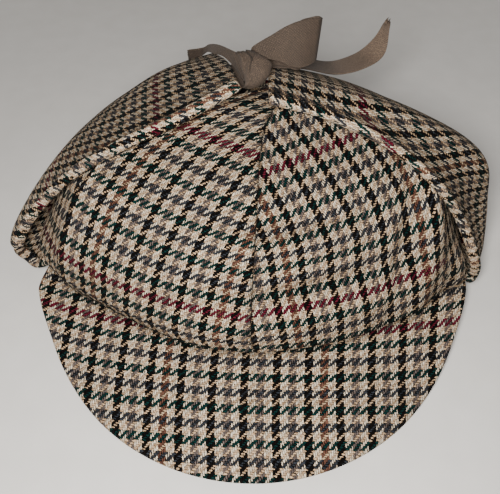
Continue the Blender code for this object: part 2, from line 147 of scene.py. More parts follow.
# the tape: a share of the way along, then a point of its upper edge and one of its lower edge
BOW_LOOP = (
    (0.00, 0.7, 23.7, 130.5, 5.7, 19.5, 126.4),
    (0.35, 10.5, 29.2, 133.9, 14.8, 21.1, 123.6),
    (0.70, 22.7, 32.8, 138.6, 23.4, 19.3, 122.0),
    (1.00, 34.1, 34.5, 140.3, 31.5, 23.9, 123.5),
)
LOOP_OPEN = 7.0
TAIL_RIGHT = (
    (0.00, 6.5, 29.0, 123.2, 9.0, 22.5, 120.6),
    (0.22, 27.5, 41.0, 114.6, 25.8, 29.1, 116.1),
    (0.45, 46.4, 72.7, 94.0, 47.4, 53.5, 97.6),
    (0.66, 62.1, 84.6, 92.5, 64.7, 65.3, 94.5),
    (0.84, 70.7, 86.2, 100.5, 76.0, 75.1, 97.2),
    (1.00, 76.1, 91.3, 106.7, 78.2, 83.5, 109.3),
)
TAIL_LEFT = (
    (0.00, -4.0, 23.0, 127.8, -0.6, 13.5, 117.5),
    (0.22, -8.0, 26.5, 127.4, -4.0, 19.0, 117.6),
    (0.38, -10.6, 30.3, 126.4, -7.8, 27.4, 118.4),
    (0.52, -13.0, 35.0, 124.9, -12.9, 34.2, 119.6),
    (0.66, -17.1, 43.5, 121.3, -18.7, 43.9, 115.8),
    (0.75, -21.0, 51.0, 117.0, -22.3, 52.0, 111.9),
    (0.84, -25.2, 57.0, 111.5, -26.2, 60.0, 104.8),
    (1.00, -33.4, 58.5, 109.3, -33.4, 62.0, 101.5),
)
TIE_LEFT = (
    (0.00, -4.5, 29.5, 117.8, -2.5, 13.5, 115.2),
    (0.50, -9.4, 33.0, 115.9, -6.0, 13.0, 115.8),
    (1.00, -15.0, 32.0, 113.8, -10.0, 12.0, 115.4),
)
# climb, a point on the knot's middle line, half its width and half its depth
KNOT = (
    (0.00, -1.0, 4.2, 121.6, 1.9, 1.8),
    (0.16, 1.4, 6.0, 122.5, 3.9, 3.8),
    (0.36, 2.9, 9.0, 124.7, 5.8, 4.8),
    (0.55, 3.0, 12.1, 126.2, 6.9, 5.2),
    (0.70, 2.7, 14.4, 127.7, 7.3, 5.0),
    (0.85, 0.6, 16.7, 129.1, 6.3, 4.0),
    (1.00, -2.0, 19.1, 130.6, 4.8, 2.4),
)

# ---- the check: one repeat is 16 threads each way ----
REPEAT_ACROSS = 14.0    # millimetres of cloth
REPEAT_ALONG = 16.0
# how the check lies on a panel: offsets in repeats, the angle it leans at low and high on the
# panel, where and over how much climb that changes, its stretch and its slow bends
Lie = namedtuple("Lie", "across along low high knee fade wide tall bow sag skew",
                 defaults=(1.0, 1.0, 0.0, 0.0, 0.0))
PANEL_LIES = {
    "crown_front_left": Lie(-2.3, -2.544, 3.9, 14.0, 0.382, 0.414, 1.001, 0.962, -3.2, 1.4, 0.4),
    "crown_front_right": Lie(-1.55, -2.345, 0.1, -13.8, 0.44, 0.30, 0.96, 1.091, -2.4, -0.9, -2.8),
    "crown_side_left": Lie(-7.763, -2.241, -18.6, -37.8, 0.35, 0.5),
    "crown_side_right": Lie(4.069, -0.01, 15.2, 16.0, 0.35, 0.5),
    "crown_back_left": Lie(0.4, 0.1, 0.0, 0.0, 0.4, 1.0),
    "crown_back_right": Lie(0.9, 0.5, 0.0, 0.0, 0.4, 1.0),
}
LIE_BASE = 0.4          # the climb that offsets and lean are counted from
LIE_REACH = 50.0        # how far out, in millimetres, the slow bends have the sizes given
LIE_SAG_BELOW = 0.25


# ---- curves and surfaces ----
# steps for slopes by differences: degrees round the crown, shares of a piece and of a tape
TURN_STEP, SHARE_STEP, TAPE_STEP = 1.0, 0.01, 0.03
CROWN_ENDS = (0.012, 0.97)  # the climbs between which the crown's slopes are taken


def curve(share, step, start, end, leave, arrive):
    """A curve from start to end that leaves and arrives at the slopes given."""
    square, cube = share**2, share**3
    return (
        (2 * cube - 3 * square + 1) * start
        + (cube - 2 * square + share) * step * leave
        + (3 * square - 2 * cube) * end
        + (cube - square) * step * arrive
    )


def smooth(rows, value):
    """Columns of a table at values of its first column, on a curve through its rows."""
    table = np.array(rows, float)
    keys = table[:, 0]
    last = len(keys) - 1
    value = np.clip(np.asarray(value, float), keys[0], keys[last])
    low = np.clip(np.searchsorted(keys, value, side="right") - 1, 0, last - 1)
    row = np.arange(last + 1)
    before, after = np.maximum(row - 1, 0), np.minimum(row + 1, last)
    slope = (table[after] - table[before]) / (keys[after] - keys[before])[:, None]
    step = (keys[low + 1] - keys[low])[..., None]
    share = (value - keys[low])[..., None] / step
    return curve(share, step, table[low], table[low + 1], slope[low], slope[low + 1])


def ease(value, start=0.0, over=1.0):
    """0 to 1 with a soft start and end, while value goes over a span from start."""
    value = np.clip((value - start) / over, 0.0, 1.0)
    return value * value * (3.0 - 2.0 * value)


def near(distance, reach):
    """1 on a line, falling to 0 beside it."""
    return np.exp(-((distance / reach) ** 2))


def sums(steps):
    """Running sums along the last axis, from 0."""
    return np.concatenate([np.zeros((*steps.shape[:-1], 1)), np.cumsum(steps, axis=-1)], -1)


def turned(u, v, degrees):
    """Flat places turned by an angle."""
    cos, sin = np.cos(np.radians(degrees)), np.sin(np.radians(degrees))
    return cos * u - sin * v, sin * u + cos * v


def in_repeats(u, v, lie):
    """Millimetres of cloth as places in the check."""
    return np.stack([u * lie.wide / REPEAT_ACROSS + lie.across,
                     v * lie.tall / REPEAT_ALONG + lie.along], -1)


def unit(vectors):
    return vectors / np.linalg.norm(vectors, axis=-1, keepdims=True)


def outward(surface, u, v, du=SHARE_STEP):
    """A surface's unit normals by differences."""
    one = surface(u + du, v) - surface(u - du, v)
    two = surface(u, v + SHARE_STEP) - surface(u, v - SHARE_STEP)
    return unit(np.cross(one, two))


def crown_base(turn, climb):
    """The crown's outer surface without its folds."""
    turn, climb = np.broadcast_arrays(np.asarray(turn, float), np.asarray(climb, float))
    _, height, left, right, front, back, sides = np.moveaxis(smooth(CROWN_SECTIONS, climb), -1, 0)
    corner = PANEL_SPAN / 2
    hexagon = math.cos(math.radians(corner)) / np.cos(np.radians(turn % PANEL_SPAN - corner))
    radius = 1.0 + sides * (hexagon - 1.0)
    x = (left + right) / 2 + (right - left) / 2 * radius * np.sin(np.radians(turn))
    y = (front + back) / 2 - (back - front) / 2 * radius * np.cos(np.radians(turn))
    return np.stack([x, y, height], -1)


def crown_push(turn, climb):
    """How far the folds move the cloth outward."""
    push = np.zeros(np.broadcast(turn, climb).shape)
    for fold in CROWN_FOLDS + FINE_FOLDS:
        aside = turn - fold.turn
        inside = np.abs(aside) < fold.half_span
        fade = np.where(inside, np.cos(math.pi / 2 * aside / fold.half_span) ** 2, 0.0)
        push += fold.push * fade * near(climb - fold.climb - fold.rise * aside, fold.width)
    pleats = TOP_PLEAT_DEPTH * np.sin(np.radians(turn * TOP_PLEATS))
    return push + ease(climb, *TOP_GATHER) * (TOP_LIFT + pleats)


def crown_normal(surface, turn, climb):
    """Unit normals of one of the crown's surfaces, turned level at the rim."""
    normal = outward(surface, turn, np.clip(climb, *CROWN_ENDS), TURN_STEP)
    normal[..., 2] *= ease(np.asarray(climb), 0.0, RIM_LEVEL)
    return unit(normal)


def crown_surface(turn, climb):
    """The crown's outer surface with its folds."""
    normal = crown_normal(crown_base, turn, climb)
    return crown_base(turn, climb) + normal * crown_push(turn, climb)[..., None]


def rim_point(turn, inset, drop):
    """Points of the crown's rim, moved in toward the head and down."""
    turn = np.asarray(turn, float)
    level = np.zeros(turn.shape)
    point = crown_surface(turn, level) - crown_normal(crown_surface, turn, level) * inset
    return point - np.array([0.0, 0.0, drop])


def peak_surface(middle, aside, rounding, share, span):
    """A peak's upper surface; share goes from 0 at the rim to 1 at the edge."""
    turn = middle + aside
    lift = PEAK_CORNER_LIFT * ease(np.abs(aside), PEAK_FOOT_SPAN, span - PEAK_FOOT_SPAN)
    rim = rim_point(turn, 0.0, GAP)
    flare = np.where(turn < 0.0, PEAK_FLARE_LEFT, PEAK_FLARE_RIGHT)
    flare = flare * ease(np.abs(aside), PEAK_FLARE_FROM, PEAK_FLARE_OVER)
    edge_x = PEAK_MIDDLE + (PEAK_EDGE_HALF_WIDTH + flare) * np.sin(np.radians(turn))
    edge = np.stack([edge_x, -PEAK_REACH * np.cos(np.radians(turn)), 0.0 * turn], -1)
    edge = rim + (edge - rim) * rounding[..., None]
    fall = (1.0 - PEAK_ARCH) * share + PEAK_ARCH * share**2
    point = rim + (edge - rim) * share[..., None]
    point[..., 2] = rim[..., 2] + (PEAK_WALL + lift - rim[..., 2]) * fall
    return point


def flap_table(rows, side):
    """A flap's rows, led by the one where it leaves the rim; side is -1 left and 1 right."""
    front, crest, back = (rim_point(side * turn, RIM_LAP, GAP + FLAP_WALL) for turn in FLAP_ROOT)
    return ((0.0, *front, *crest, *back), *rows)


def flap_line(table, climb, across):
    """A flap's outer surface without its hollow."""
    row = smooth(table, climb)
    front, crest, back = row[..., 1:4], row[..., 4:7], row[..., 7:10]
    at_front, at_back = (crest - front) / FLAP_CREST, (back - crest) / (1.0 - FLAP_CREST)
    late = (across >= FLAP_CREST)[..., None]
    step = np.where(late, 1.0 - FLAP_CREST, FLAP_CREST)
    share = (across[..., None] - np.where(late, FLAP_CREST, 0.0)) / step
    start, end = np.where(late, crest, front), np.where(late, back, crest)
    leave = np.where(late, back - front, at_front)
    return curve(share, step, start, end, leave, np.where(late, at_back, back - front))


def flap_normal(surface, table, climb, across):
    """Unit normals of one of a flap's surfaces."""
    side = math.copysign(1.0, table[0][1])
    at = [np.clip(share, SHARE_STEP, 1.0 - SHARE_STEP) for share in (climb, across)]
    return outward(lambda c, a: surface(table, c, a), *at) * -side


def flap_surface(table, climb, across):
    """A flap's outer surface; across goes from 0, the front edge, to 1, the back edge."""
    line = flap_line(table, climb, across)
    if table[0][1] < 0.0:
        return line
    deep = FLAP_HOLLOW * np.sin(math.pi * np.minimum(across / FLAP_CREST, 1.0)) ** 2
    deep = deep * ease(climb, *HOLLOW_START) * ease(1.0 - climb, 0.0, HOLLOW_END)
    return line - flap_normal(flap_line, table, climb, across) * deep[..., None]


def tape_frame(rows, along):
    """Upper edges, lower edges and facing directions of a tape at places on its way."""
    def edges(place):
        row = smooth(rows, place)
        return row[..., 1:4], row[..., 4:7]

    upper, lower = edges(along)
    before, after = np.maximum(along - TAPE_STEP, 0.0), np.minimum(along + TAPE_STEP, 1.0)
    ahead = sum(edges(after)) - sum(edges(before))
    return upper, lower, unit(np.cross(ahead, upper - lower))


def lay_flat(points, start):
    """Flat cloth coordinates: each row of points unrolled on its own from one straight column."""
    run = np.linalg.norm(np.diff(points, axis=1), axis=-1)
    place = sums(run)
    place -= place[:, start:start + 1]
    across = unit(np.stack([np.gradient(p, s, axis=0) for p, s in zip(points, place)]))
    rise = np.gradient(points, axis=0)
    rise -= across * (rise * across).sum(-1, keepdims=True)
    bend = np.stack([np.gradient(a, s, axis=0) for a, s in zip(across, place)])
    bend = (bend * unit(rise)).sum(-1)

    def total(value):
        whole = sums((value[:, 1:] + value[:, :-1]) / 2 * run)
        return whole - whole[:, start:start + 1]

    heading = total(bend)
    height = sums(np.linalg.norm(np.diff(points[:, start], axis=0), axis=-1))
    return np.stack([total(np.cos(heading)), total(np.sin(heading)) + height[:, None]], -1)


# ---- meshes ----
ROLL_STEPS = 5          # rings of faces round a quarter of a rolled edge


def rolled(count, start, end):
    """Shares from 0 to 1, closer together where an edge rolls over, and how thick the cloth
    is there. start and end are the rolls' shares of the whole, as arrays, or None for no roll."""
    bend = np.linspace(0.0, math.pi / 2, ROLL_STEPS + 1)[:-1]
    quarter, full = 1.0 - np.cos(bend), np.sin(bend)
    first, last = np.broadcast_arrays(*(0.0 if roll is None else roll for roll in (start, end)))
    middle = first[..., None] + (1.0 - last - first)[..., None] * np.linspace(0, 1, count + 1)
    parts, thick = [middle], [np.ones(count + 1)]
    if start is not None:
        parts.insert(0, first[..., None] * quarter)
        thick.insert(0, full)
    if end is not None:
        parts.append(1.0 - last[..., None] * quarter[::-1])
        thick.append(full[::-1])
    return np.concatenate(parts, -1), np.concatenate(thick)


def roll_extra(count):
    """Cloth used up by the rolls at both ends beyond their plan width, as a share of a roll."""
    theta = np.linspace(math.pi / 2, 0.0, ROLL_STEPS + 1)[:-1]
    extra = theta - np.sin(theta)
    return np.concatenate([-extra, np.zeros(count + 1), extra[::-1]])


def sheet_faces(rows, columns, closed):
    """Faces of a closed sheet whose two sides share the points on its border.
    Closed sheets run round on themselves along their rows."""
    outer = np.arange(rows * columns).reshape(rows, columns)
    inner = outer + rows * columns
    border = np.zeros((rows, columns), bool)
    border[:, 0] = border[:, -1] = True
    if not closed:
        border[0] = border[-1] = True
    inner = np.where(border, outer, inner)

    def quads(grid):
        if closed:
            grid = np.concatenate([grid, grid[:1]])
        corners = grid[:-1, :-1], grid[:-1, 1:], grid[1:, 1:], grid[1:, :-1]
        return np.stack(corners, -1).reshape(-1, 4)

    return np.concatenate([quads(outer), quads(inner)[:, ::-1]])


def link_sheet(name, middle, normal, half, check, finish, tone, closed=False):
    """A sheet between middle + normal * half and middle - normal * half, with the flat
    coordinates of its cloth on both sides, lightened and darkened by painted light and shade."""
    rows, columns = middle.shape[:2]
    half = np.broadcast_to(half, (rows, columns))[..., None]
    points = np.concatenate([(middle + normal * half).reshape(-1, 3),
                             (middle - normal * half).reshape(-1, 3)])
    faces = sheet_faces(rows, columns, closed)
    flat = np.concatenate([check.reshape(-1, 2)] * 2)
    tone = np.concatenate([np.broadcast_to(tone, (rows, columns)).ravel()] * 2)
    return link_mesh(name, points, faces, flat, finish, tone)


def link(name, data):
    """A new object in the scene."""
    thing = bpy.data.objects.new(name, data)
    bpy.context.scene.collection.objects.link(thing)
    return thing


def link_mesh(name, points, faces, flat, finish, tone):
    """A piece of the part in place of the solid of its name: one mesh, in metres, smooth, with
    its cloth's coordinates as a UV map."""
    used = np.unique(faces)
    back = np.zeros(len(points), int)
    back[used] = np.arange(len(used))
    points, flat, tone, faces = points[used], flat[used], tone[used], back[faces]
    mesh = bpy.data.meshes.new(name)
    mesh.from_pydata((points * MM).tolist(), [], faces.tolist())
    mesh.update()
    corners = np.zeros(len(mesh.loops), np.int32)
    mesh.loops.foreach_get("vertex_index", corners)
    layer = mesh.uv_layers.new(name="cloth")
    layer.data.foreach_set("uv", flat[corners].astype(np.float32).ravel())
    # painted light and shade, multiplied into the cloth's base colour
    tones = mesh.attributes.new("tone", "FLOAT", "POINT")
    tones.data.foreach_set("value", tone.astype(np.float32))
    ends = points[faces]
    volume = sum((ends[:, 0] * np.cross(ends[:, corner - 1], ends[:, corner])).sum()
                 for corner in range(2, faces.shape[1]))
    if volume < 0.0:
        mesh.flip_normals()
    mesh.shade_smooth()
    mesh.materials.append(FINISHES[finish])
    piece = link(name, mesh)
    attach(piece, "root")
    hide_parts(name)
    return piece


# ---- the pieces' shapes ----
CROWN_TOP = 0.9985
PANEL_RISE = 150.0      # about a panel's length from rim to top, and a flap's
FLAP_RISE = 170.0
SEAM_ROLL = 0.9         # how far from a seam the cloth starts to turn down into it
SEAM_ROLL_MOST = 0.2    # of a panel's width, where it is narrow
EDGE_ROLL = 1.4         # and the same for free edges
EDGE_ROLL_MOST = 0.3

# painted shade on the crown: how much darker its cloth is, and where: up to what climb, from
# what climb over what span, or how near to a line
LOW_SHADE, LOW_SPAN = 0.07, 0.3
TOP_SHADE, TOP_SPAN = 0.22, (0.5, 0.2)
KNOT_SHADE, KNOT_SPAN = 0.45, (0.86, 0.1)
SEAM_SHADE, SEAM_REACH = 0.5, 1.3
RIM_SHADE, RIM_REACH = 0.5, 0.02
CREASE_SHADE, CREASE_DEPTH = 0.07, 3.5      # for each millimetre that a fold is deep, up to this
PEAK_SHADE, PEAK_SHADE_REACH = 0.55, 2.2    # painted shade on a peak, beside the rim


def panel_check(flat, climb, start, lie):
    """Places in the check, in repeats, for a panel's flat coordinates."""
    base = np.interp(LIE_BASE, climb[:, start], flat[:, start, 1])
    fade = ease((climb - lie.knee) / lie.fade + 0.5)
    u, v = turned(flat[..., 0], flat[..., 1] - base, lie.low + (lie.high - lie.low) * fade)
    sag = lie.sag * np.minimum(climb - LIE_SAG_BELOW, 0.0) / LIE_SAG_BELOW
    v += lie.bow * (u / LIE_REACH) ** 2 + sag * (u / LIE_REACH)
    u += lie.skew * (v / LIE_REACH) ** 2
    return in_repeats(u, v, lie)


def build_panel(name, left, right, across, up):
    """One of the crown's six panels, with its seams turned down."""
    climb, thick_up = rolled(up, np.array(EDGE_ROLL / PANEL_RISE), None)
    climb = climb * CROWN_TOP
    width = np.linalg.norm(crown_base(right, climb) - crown_base(left, climb), axis=-1)
    roll = np.minimum(SEAM_ROLL / width, SEAM_ROLL_MOST)
    share, thick = rolled(across, roll, roll)
    turn = left + (right - left) * share
    climb = np.broadcast_to(climb[:, None], turn.shape)
    normal = crown_normal(crown_surface, turn, climb)
    middle = crown_surface(turn, climb) - normal * CROWN_WALL / 2
    half = CROWN_WALL / 2 * thick * thick_up[:, None]
    start = ROLL_STEPS + across // 2
    flat = lay_flat(crown_base(turn, climb), start)
    check = panel_check(flat, climb, start, PANEL_LIES[name])
    check[..., 0] += roll_extra(across) * SEAM_ROLL / REPEAT_ACROSS
    seam = np.minimum(share, 1.0 - share) * width[:, None]
    # painted shade: low on the crown, toward its top, under the knot, in the folds, at the seams
    # and the rim
    low = LOW_SHADE * (1.0 - ease(climb, 0.0, LOW_SPAN))
    tone = 1.0 - low - TOP_SHADE * ease(climb, *TOP_SPAN)
    tone *= 1.0 - KNOT_SHADE * ease(climb, *KNOT_SPAN)
    tone *= 1.0 + np.clip(crown_push(turn, climb), -CREASE_DEPTH, 0.0) * CREASE_SHADE
    tone *= 1.0 - SEAM_SHADE * near(seam, SEAM_REACH)
    tone *= 1.0 - RIM_SHADE * near(climb, RIM_REACH)
    link_sheet(name, middle, normal, half, check, "tweed", tone)


# how the check lies on a peak, in plan: its offsets, lean, stretch and slow bends
FlatLie = namedtuple("FlatLie", "across along lean wide tall bow skew rise shear",
                     defaults=(1.0, 1.0, 0.0, 0.0, 0.0, 0.0))
PEAK_LIES = {
    "peak_front": FlatLie(-1.441, -0.948, 2.62, 0.903, 1.031, -8.2, -2.1, -1.15, -1.98),
    "peak_back": FlatLie(0.2, 0.1, 0.0),
}
PEAK_ORIGIN = 90.0
PEAK_LIE_REACH = (80.0, 40.0)   # where the bends have the sizes given, sideways and forward
CORNER_STEPS = 14       # points round a peak's corner
CORNER_END = 0.12       # the share of the peak's depth that is left at its tips


def peak_check(point, lie):
    """Places in the check, in repeats, for points of a peak."""
    wide, deep = PEAK_LIE_REACH
    x, y = point[..., 0], point[..., 1] + PEAK_ORIGIN
    u, v = turned(x, y, lie.lean)
    v = v + lie.bow * (x / wide) ** 2 + lie.rise * (y / deep) * (x / wide) ** 2
    u = u + lie.skew * (y / deep) * (x / wide) + lie.shear * (y / deep) ** 2
    return in_repeats(u, v, lie)


def build_peak(name, place, across, down):
    """A peak: cloth over a thin core, its edge rounded over."""
    middle_turn, span, corner = place
    even = np.linspace(-1.0, 1.0, across + 1) * (span - corner)
    bend = np.linspace(0.0, math.acos(CORNER_END), CORNER_STEPS + 1)[1:]
    aside = np.concatenate([-(span - corner) - corner * np.sin(bend[::-1]), even,
                            span - corner + corner * np.sin(bend)])
    rounding = np.concatenate([np.cos(bend[::-1]), np.ones(across + 1), np.cos(bend)])
    edge = peak_surface(middle_turn, aside, rounding, np.ones(aside.shape), span)
    rim = peak_surface(middle_turn, aside, rounding, np.zeros(aside.shape), span)
    inside = rim_point(middle_turn + aside, RIM_LAP, GAP)
    width = np.linalg.norm((edge - rim)[:, :2], axis=-1)
    share, thick = rolled(down, None, np.minimum(EDGE_ROLL / width, EDGE_ROLL_MOST))
    share = share.T
    aside, rounding = np.broadcast_arrays(aside, rounding, share)[:2]
    point = peak_surface(middle_turn, aside, rounding, share, span)
    point = np.concatenate([inside[None], (inside + rim)[None] / 2, point])
    thick = np.concatenate([[1.0, 1.0], thick])
    up = np.zeros(point.shape)
    up[..., 2] = 1.0
    half = PEAK_WALL / 2 * thick[:, None]
    check = peak_check(point, PEAK_LIES[name])
    # painted shade beside the rim
    tone = 1.0 - PEAK_SHADE * near(np.linalg.norm(point - rim, axis=-1), PEAK_SHADE_REACH)
    middle = point - up * PEAK_WALL / 2
    link_sheet(name, middle, up, half, check, "tweed", tone)


# the ear flaps' thick front hem, in millimetres from its edge
HEM_ROLL = 3.0
HEM_FADE = 3.0
HEM_STAND = 0.9         # how far it stands out of the flap
HEM_SEAM = 6.2          # where it is stitched down
HEM_SINK = 0.5
# painted light on the front hem, and painted shade in the groove where it is stitched down
HEM_TONE, HEM_TONE_FADE = 1.2, 2.5
GROOVE_SHADE, GROOVE_REACH = 0.6, 1.0
SEAM_TONE, CREST_TONE = 0.82, 0.3       # painted shade beside the hem, and the painted light that the crest adds
# painted shade over each flap, darker higher up: its tones at these climbs
FLAP_TONE_CLIMBS = (0.1, 0.35, 0.6, 1.0)
FLAP_TONES = {
    "ear_flap_left": (1.0, 1.0, 0.62, 0.5),
    "ear_flap_right": (0.9, 0.82, 0.68, 0.64),
}

# how the check lies on the ear flaps: offsets, lean and stretch, and the turn of its grain
FLAP_LIES = {
    "ear_flap_left": FlatLie(-2.28, 1.37, -14.0, 1.35, 1.2),
    "ear_flap_right": FlatLie(-1.94, 1.87, 0.0, 1.3, 1.235),
}
FLAP_LIE_BASE = 0.51    # the climb that offsets and lean are counted from
FLAP_SQUARE = 0.85      # and the climb where the turned rows stay in place
FLAP_TURNS = {          # climb and degrees from the flap's way up to its grain
    "ear_flap_left": (
        (0.0, 66.0), (0.36, 56.0), (0.54, 46.0), (0.72, 32.0), (0.87, 16.0), (1.0, 3.0),
    ),
    "ear_flap_right": (
        (0.0, 90.0), (0.3, 85.0), (0.55, 58.0), (0.72, 35.0), (0.87, 8.0), (1.0, 0.0),
    ),
}


def turn_rows(flat, point, start, climb, turns):
    """Turns each row of a flap's flat cloth by the angles given for places on its way up."""
    hub = (ROLL_STEPS + start) // 2
    row = unit(point[:, hub + 1] - point[:, hub])
    row = unit(row[1:] + row[:-1])
    step = np.diff(point[:, hub], axis=0)
    step = np.linalg.norm(step - row * (step * row).sum(-1, keepdims=True), axis=-1)
    heading = -smooth(turns, climb)[:, 1]
    mean = np.radians((heading[1:] + heading[:-1]) / 2)
    left, rise = sums(-np.sin(mean) * step), sums(np.cos(mean) * step)
    square = int(np.argmin(np.abs(climb - FLAP_SQUARE)))
    left, rise = left - left[square], rise - rise[square] + flat[square, start, 1]
    aside = flat[..., 0] - flat[:, hub, 0][:, None]
    over = flat[..., 1] - flat[:, hub, 1][:, None]
    aside, over = turned(aside, over, heading[:, None])
    return np.stack([left[:, None] + aside, rise[:, None] + over], -1)


def build_flap(name, rows, side, across, up):
    """An ear flap with a thick turned hem along its front edge."""
    table = flap_table(rows, side)
    climb, thick_up = rolled(up, None, np.array(EDGE_ROLL / FLAP_RISE))
    row = smooth(table, climb)
    width = (np.linalg.norm(row[:, 4:7] - row[:, 1:4], axis=-1)
             + np.linalg.norm(row[:, 7:10] - row[:, 4:7], axis=-1))
    share, thick = rolled(across, HEM_ROLL / width, EDGE_ROLL / width)
    climb = np.broadcast_to(climb[:, None], share.shape)
    point = flap_surface(table, climb, share)
    normal = flap_normal(flap_surface, table, climb, share)
    off = share * width[:, None]
    hem = 1.0 - ease(off, HEM_ROLL, HEM_FADE)
    groove = near(off - HEM_SEAM, GROOVE_REACH)
    middle = point + normal * ((HEM_STAND * hem - HEM_SINK * groove)[..., None] - FLAP_WALL / 2)
    half = (FLAP_WALL / 2 + (HEM_ROLL - FLAP_WALL / 2) * hem) * thick * thick_up[:, None]
    start = ROLL_STEPS + round(across * FLAP_CREST)
    flat = lay_flat(point, start)
    at_hem = np.arange(len(thick)) < ROLL_STEPS
    flat[..., 0] += np.where(at_hem, HEM_ROLL, EDGE_ROLL) * roll_extra(across)
    flat = turn_rows(flat, point, start, climb[:, start], FLAP_TURNS[name])
    flat[..., 0] *= side
    base = np.interp(FLAP_LIE_BASE, climb[:, start], flat[:, start, 1])
    lie = FLAP_LIES[name]
    check = in_repeats(*turned(flat[..., 0], flat[..., 1] - base, lie.lean), lie)
    # painted shade over the flap, less toward its crest, painted light on the hem and painted
    # shade in its groove
    tone = np.interp(climb[:, 0], FLAP_TONE_CLIMBS, FLAP_TONES[name])[:, None]
    crest = ease(off, HEM_SEAM, FLAP_CREST * width[:, None] - HEM_SEAM)
    tone = tone * (SEAM_TONE + CREST_TONE * crest)
    tone += (HEM_TONE - tone) * (1.0 - ease(off - HEM_SEAM + HEM_TONE_FADE, 0.0, HEM_TONE_FADE))
    tone *= 1.0 - GROOVE_SHADE * groove
    link_sheet(name, middle, normal, half, check, "tweed", tone)


TAPE_WALL = 0.8         # a little thinner than its solid
TAPE_ROLL = 0.4
LOOP_STEP = 1.3         # how far the loop's back half stands above its front half
LOOP_STEP_SPAN = (0.6, 0.2)
# painted shade: the loop darker all over than the other tapes
LOOP_TONE = 0.62
LOOP_SHADE = 0.5        # more painted shade in its fold, from and to these degrees round it
LOOP_SHADE_FROM, LOOP_SHADE_TO = (150.0, 12.0), (200.0, 20.0)
TAIL_TONES = {          # places along a tail and its painted light and shade there
    "ribbon_tail_right": ((0.0, 0.3, 0.9, 1.0), (0.6, 0.85, 1.0, 1.0)),
    "ribbon_tail_left": ((0.0, 0.2, 0.4, 1.0), (0.4, 0.6, 0.75, 0.6)),
    "ribbon_tie_left": ((0.0, 1.0), (0.5, 0.6)),
}
FRAY = {"ribbon_tail_right": 5.0, "ribbon_tail_left": 0.4, "ribbon_tie_left": 0.0}
FRAY_ROWS = (1.0, 0.6, 0.3)     # how much of that the last rows of points get, last row first
FRAY_SEED = 5
SHORTEST = 10.5         # the least length returned for a tape
WIDTH_SAMPLES = 200


def tape_sheet(name, lines, shift, columns, tone, closed=False, fray=0.0):
    """A tape from its two edges and facing, off its middle by shift. fray is how far the
    longest threads stand out of its free end. Also its length, width and area in metres."""
    upper, lower, facing = lines
    width = np.linalg.norm(upper - lower, axis=-1)
    share, thick = rolled(columns, TAPE_ROLL / width, TAPE_ROLL / width)
    middle = upper[:, None] + (lower - upper)[:, None] * share[..., None]
    middle += facing[:, None] * shift[:, None, None]
    if fray:
        ahead = unit(middle[-1] - middle[-1 - len(FRAY_ROWS)])
        spikes = np.random.default_rng(FRAY_SEED).random(len(thick)) ** 2
        for back, part in enumerate(FRAY_ROWS, 1):
            middle[-back] += ahead * (spikes * fray * part)[:, None]
    if closed:
        ring = np.concatenate([middle[-1:], middle, middle[:1]])
        way = np.gradient(ring, axis=0)[1:-1]
    else:
        way = np.gradient(middle, axis=0)
    normal = unit(np.cross(way, np.gradient(middle, axis=1)))
    centre = middle.mean(1)
    run = sums(np.linalg.norm(np.diff(centre, axis=0), axis=-1))
    along = np.broadcast_to(run[:, None], share.shape)
    flat = np.stack([(share - 0.5) * width[:, None], along], -1)
    half = TAPE_WALL / 2 * thick
    sheet = link_sheet(name, middle, normal, half, flat, "ribbon", tone, closed)
    length = run[-1] + (np.linalg.norm(centre[0] - centre[-1]) if closed else 0.0)
    mean = np.interp(np.linspace(0.0, run[-1], WIDTH_SAMPLES), run, width).mean()
    return sheet, max(length, SHORTEST) * MM, width.max() * MM, length * mean * MM * MM


def build_tail(name, rows, steps, columns):
    """One of the tape's stretches with two ends."""
    along = np.linspace(0.0, 1.0, steps + 1)
    tone = np.interp(along, *TAIL_TONES[name])[:, None]
    piece, length, width, area = tape_sheet(
        name, tape_frame(rows, along), 0.0 * along, columns, tone, fray=FRAY[name])


def build_loop(name, rows, steps, columns):
    """The bow's loop: a tape that runs out in front and comes back behind."""
    angle = np.arange(steps) * 2 * math.pi / steps
    along = (1.0 - np.cos(angle)) / 2
    upper, lower, facing = tape_frame(rows, along)
    behind = ease(-np.sin(angle) * 2.0) * ease(along, *LOOP_STEP_SPAN)
    upper = upper + unit(upper - lower) * (LOOP_STEP * behind)[:, None]
    apart = RIBBON_WALL / 2 + GAP
    shift = LOOP_OPEN / 2 * np.sin(angle) + apart * np.cos(angle / 2)
    turn = np.degrees(angle)[:, None]
    last, over = LOOP_SHADE_TO
    fold = ease(turn, *LOOP_SHADE_FROM) * ease(last - turn, 0.0, over)
    tone = LOOP_TONE * (1.0 - LOOP_SHADE * fold)
    piece, length, width, area = tape_sheet(
        name, (upper, lower, facing), shift, columns, tone, closed=True)


# the knot; angles are degrees round it, spans start at a climb
KNOT_LAP = (243.0, 268.0)   # the edge of its upper facet, low and high
KNOT_LAP_SPAN = (0.35, 0.55)
KNOT_UPPER_SPAN = (0.3, 0.2)    # where the facet starts to show
LAP_STAND, LAP_REACH, UNDER_REACH = 0.9, 45.0, 14.0     # it fades on the facet and beside it
PLEAT_FROM, PLEATS, PLEAT_DEPTH = 150.0, 9.0, 0.3
KNOT_CLOTH = (7.0, 20.0)    # radius and height of the knot's flat cloth
# painted shade on the knot: darker all over, along its facet's crease, at its top and toward its
# left side
KNOT_TONE = 0.74
KNOT_CREASE_SHADE, KNOT_CREASE, KNOT_CREASE_REACH = 0.75, -4.0, 5.0
KNOT_RIM_SHADE, KNOT_RIM_REACH = 0.5, 0.06
KNOT_SIDE_SHADE = 0.1


